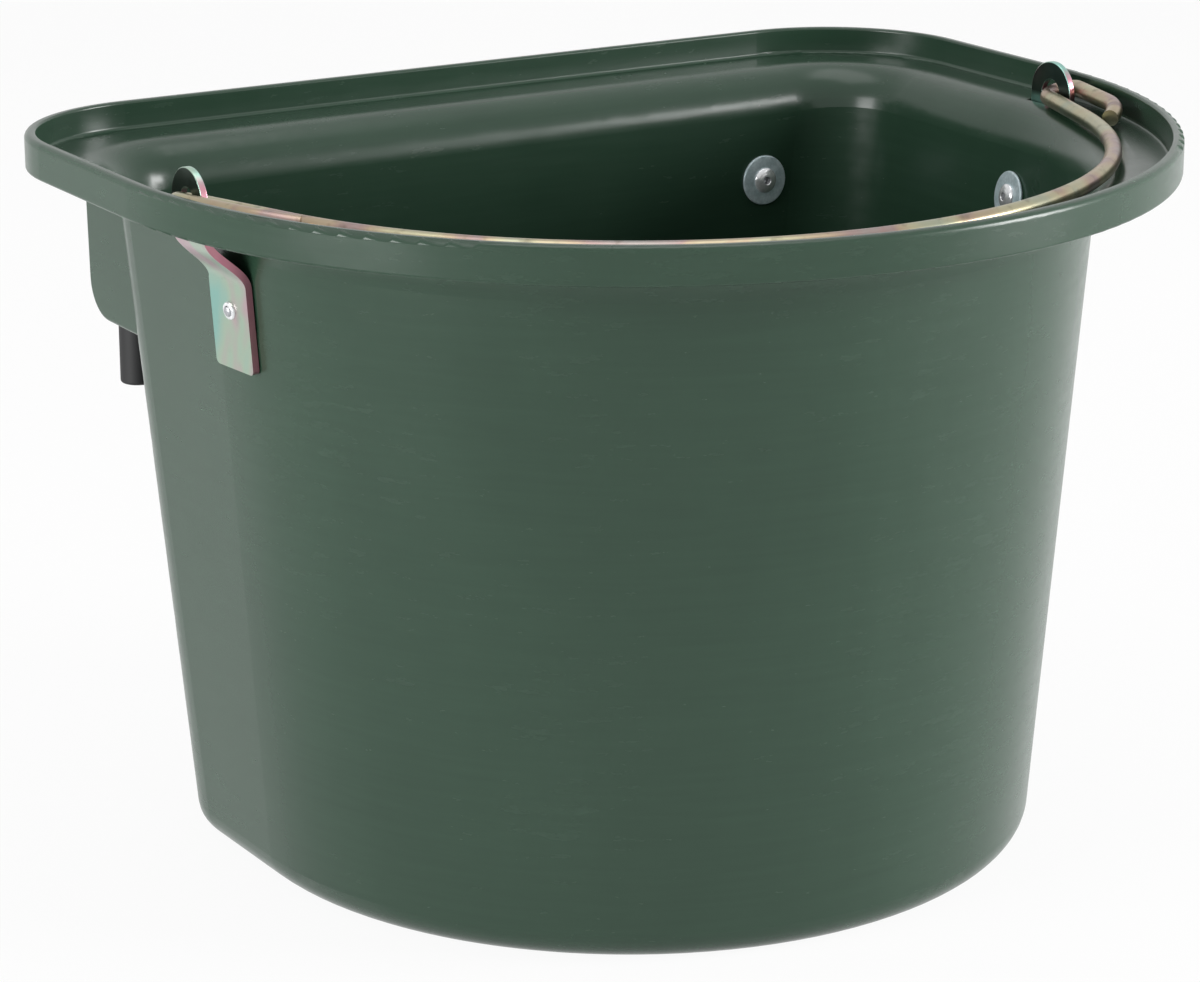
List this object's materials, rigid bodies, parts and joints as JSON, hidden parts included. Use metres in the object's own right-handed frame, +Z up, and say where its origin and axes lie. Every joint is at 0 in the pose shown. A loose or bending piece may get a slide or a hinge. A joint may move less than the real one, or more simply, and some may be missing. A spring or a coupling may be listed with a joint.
{
  "type": "hook-in feed manger",
  "caption": "D-shaped moulded feed manger with a lipped rim, a swinging wire bail held in riveted ear brackets, and hooks behind its flat back that hang it on a rail or board.",
  "frame": {"origin": "underside of the tub, on the axis of the semicircular front", "axes": "+X to the right along the flat back, +Y towards the flat back, +Z up"},
  "size_m": [0.4, 0.3719, 0.2719],
  "materials": {
    "tub": "dark green moulded polyethylene with a soft gloss",
    "yellow_zinc": "zinc plated steel, yellow passivated, faintly iridescent",
    "washer": "bright zinc plated steel",
    "rivet": "bright aluminium",
    "mandrel": "plain drawn steel",
    "sleeve": "black matte plastic"
  },
  "bodies": {
    "manger": {"tub": "tub", "ear_bracket_left": "yellow_zinc", "ear_bracket_right": "yellow_zinc", "hanger_hook_left": "yellow_zinc", "hanger_hook_right": "yellow_zinc", "hook_sleeve_left": "sleeve", "hook_sleeve_right": "sleeve", "ear_rivet_left": "rivet", "ear_rivet_right": "rivet", "ear_rivet_mandrel_left": "mandrel", "ear_rivet_mandrel_right": "mandrel", "ear_washer_left": "washer", "ear_washer_right": "washer", "back_rivet_left": "rivet", "back_rivet_right": "rivet", "back_rivet_mandrel_left": "mandrel", "back_rivet_mandrel_right": "mandrel", "back_washer_left": "washer", "back_washer_right": "washer"},
    "bail": {"bail": "yellow_zinc"}
  },
  "joints": [
    {"name": "bail_swing", "type": "hinge", "parent": "manger", "child": "bail", "pos_m": [0, -0.0144, 0.2599], "axis": [-1, 0, 0], "range_deg": [0, 170]}
  ]
}
